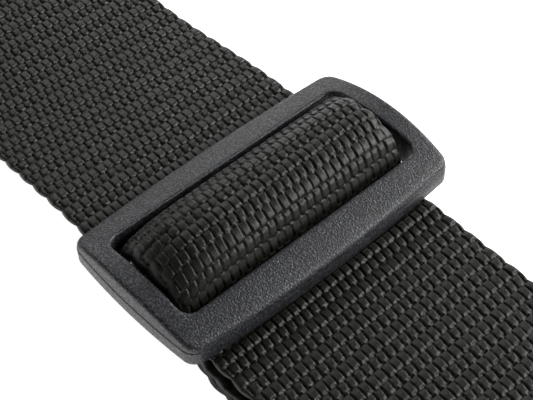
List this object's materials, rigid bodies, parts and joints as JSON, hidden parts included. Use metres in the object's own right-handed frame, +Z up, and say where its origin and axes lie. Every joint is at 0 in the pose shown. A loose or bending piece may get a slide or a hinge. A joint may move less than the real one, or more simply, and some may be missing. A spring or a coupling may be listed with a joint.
{
  "type": "guitar strap",
  "caption": "Adjustable woven webbing strap with a moulded three-bar slider, an adjuster ring and leather button tabs, laid in a hairpin.",
  "frame": {"origin": "centre of the front button hole, on the surface the strap lies on", "axes": "+X along the strap towards the front tab's tip, +Y across the strap towards the rear tab, +Z up"},
  "size_m": [0.6449, 0.2174, 0.05],
  "materials": {
    "webbing": "heavy woven synthetic webbing, matt with small highlights on the yarns",
    "moulded_plastic": "fine spark-textured moulded plastic",
    "leather": "smooth black leather with a fine grain",
    "thread": "bonded black sewing thread"
  },
  "bodies": {
    "rear_strap": {"webbing_hairpin": "webbing", "webbing_return_run": "webbing", "webbing_rear_run": "webbing", "rear_tab_face": "leather", "rear_tab_backing": "leather", "rear_tab_box_stitch": "thread", "rear_tab_edge_stitch": "thread"},
    "sewn_end": {"webbing_sewn_end": "webbing", "sewn_end_bartack": "thread", "webbing_over_slider": "webbing"},
    "slider": {"slider_frame": "moulded_plastic"},
    "ring_turn": {"webbing_ring_turn": "webbing", "webbing_upper_run": "webbing", "webbing_lower_run": "webbing"},
    "ring": {"adjuster_ring": "moulded_plastic"},
    "front_tab": {"front_link_webbing": "webbing", "front_tab_face": "leather", "front_tab_backing": "leather", "front_tab_box_stitch": "thread", "front_tab_edge_stitch": "thread"}
  },
  "joints": [
    {"name": "slider_travel", "type": "slide", "parent": "rear_strap", "child": "sewn_end", "axis": [1, 0, 0], "range_m": [-0.1, 0.08], "deforming": ["webbing_rear_run"]},
    {"name": "slider_tilt", "type": "hinge", "parent": "sewn_end", "child": "slider", "pos_m": [-0.258, 0, 0.0094], "axis": [0, -1, 0], "range_deg": [0, 10], "deforming": ["webbing_over_slider"]},
    {"name": "ring_travel", "type": "slide", "parent": "sewn_end", "child": "ring_turn", "axis": [1, 0, 0], "range_m": [-0.04, 0.05], "deforming": ["webbing_upper_run", "webbing_lower_run"]},
    {"name": "ring_hinge", "type": "hinge", "parent": "ring_turn", "child": "ring", "pos_m": [-0.108, 0, 0.0043], "axis": [0, -1, 0], "range_deg": [-75, 75]},
    {"name": "front_tab_hinge", "type": "hinge", "parent": "ring", "child": "front_tab", "pos_m": [-0.096, 0, 0.0043], "axis": [0, -1, 0], "range_deg": [-90, 90]}
  ],
  "couplings": [
    {"joint": "ring_travel", "follows": "slider_travel", "ratio": -0.5}
  ]
}
